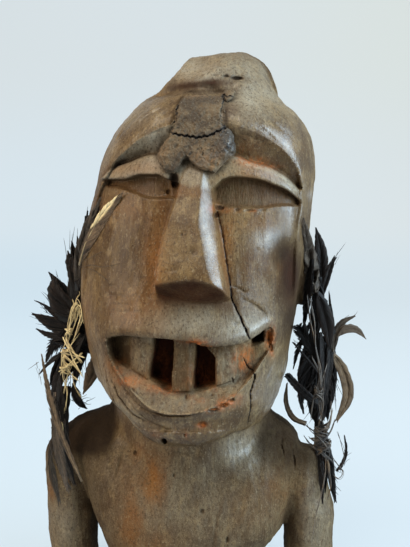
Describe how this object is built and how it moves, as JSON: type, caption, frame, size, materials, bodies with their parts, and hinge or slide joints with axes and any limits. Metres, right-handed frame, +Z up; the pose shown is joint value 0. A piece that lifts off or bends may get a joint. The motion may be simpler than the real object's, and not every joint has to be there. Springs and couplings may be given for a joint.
{
  "type": "power figure bust",
  "caption": "Carved wooden power figure bust with topknot, slit eyes, wedge nose and toothed mouth, resin crust on the forehead and feathers tied at both ears with raffia.",
  "frame": {"origin": "middle of the flat cut underside of the torso, on the surface the bust stands on", "axes": "+Z up along the neck and head, the face looks along -Y, +X is the viewer's right when facing the figure"},
  "size_m": [0.1459, 0.1086, 0.2307],
  "materials": {
    "wood": "dark brown hand-rubbed patina with worn orange edges, ingrained dirt and satin sheen",
    "resin_crust": "matt grey-brown cracked resin and clay crust",
    "feather_dark": "near-black worn feather vane",
    "feather_striped": "dark vane with a cream stripe along the shaft",
    "feather_grey": "dusty grey-brown vane",
    "feather_tan": "tan shaft and brown vane",
    "raffia": "dry straw-coloured raffia fibre, darkened in the knots"
  },
  "bodies": {
    "root": {"figure": "wood", "forehead_charge": "resin_crust", "feather_left_striped": "feather_striped", "feather_left_long_dark": "feather_dark", "feather_left_hair_tip": "feather_dark", "feather_left_upper": "feather_dark", "feather_left_broad_outer": "feather_dark", "feather_left_spiky": "feather_dark", "feather_left_hanging": "feather_dark", "feather_left_black_mass": "feather_dark", "feather_left_soft_grey": "feather_grey", "feather_left_shoulder_tuft": "feather_dark", "feather_left_lower_strip": "feather_dark", "feather_left_lower_grey": "feather_grey", "feather_left_tan_shaft": "feather_tan", "feather_right_grey_broad": "feather_grey", "feather_right_second": "feather_dark", "feather_right_short_dark": "feather_dark", "feather_right_long_dark": "feather_dark", "feather_right_thin_tip": "feather_dark", "feather_right_curl": "feather_dark", "feather_right_curl_branch": "feather_grey", "feather_right_comb": "feather_dark", "feather_right_stem_upper": "feather_dark", "feather_right_stem_lower": "feather_dark", "feather_right_curved_tan": "feather_tan", "feather_right_dark_mass": "feather_dark", "feather_right_dark_rear": "feather_dark", "feather_right_broad_brown": "feather_tan", "feather_right_tail": "feather_dark", "feather_right_hook": "feather_dark", "raffia_tie_left": "raffia", "raffia_tie_right": "raffia"}
  },
  "joints": []
}
